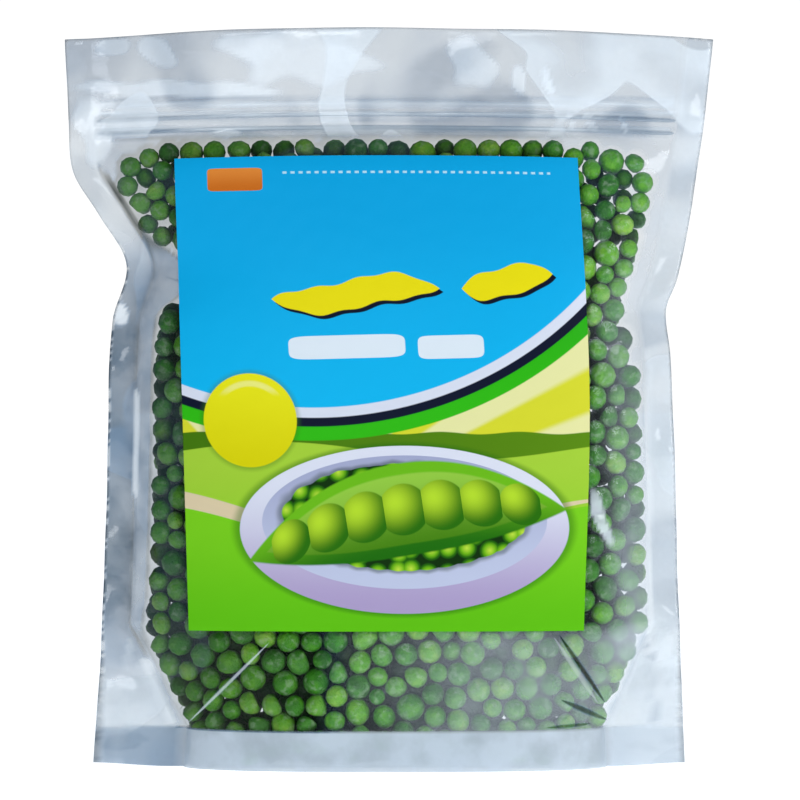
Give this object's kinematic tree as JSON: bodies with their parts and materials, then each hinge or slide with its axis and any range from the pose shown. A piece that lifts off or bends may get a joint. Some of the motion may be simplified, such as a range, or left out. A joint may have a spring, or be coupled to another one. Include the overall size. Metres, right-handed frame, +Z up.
{
  "type": "frozen vegetable bag",
  "caption": "Clear stand-up zip pouch filled with frozen green peas, with a wide printed label on its front",
  "frame": {"origin": "on the floor, under the middle of the standing pouch", "axes": "+Z up, the printed front faces -Y, +X to the right as seen from the front"},
  "size_m": [0.2592, 0.0553, 0.295],
  "materials": {
    "pouch": "clear glossy film over green peas",
    "label": "semi-gloss print"
  },
  "bodies": {
    "root": {"pouch": "pouch", "label": "label"}
  },
  "joints": []
}
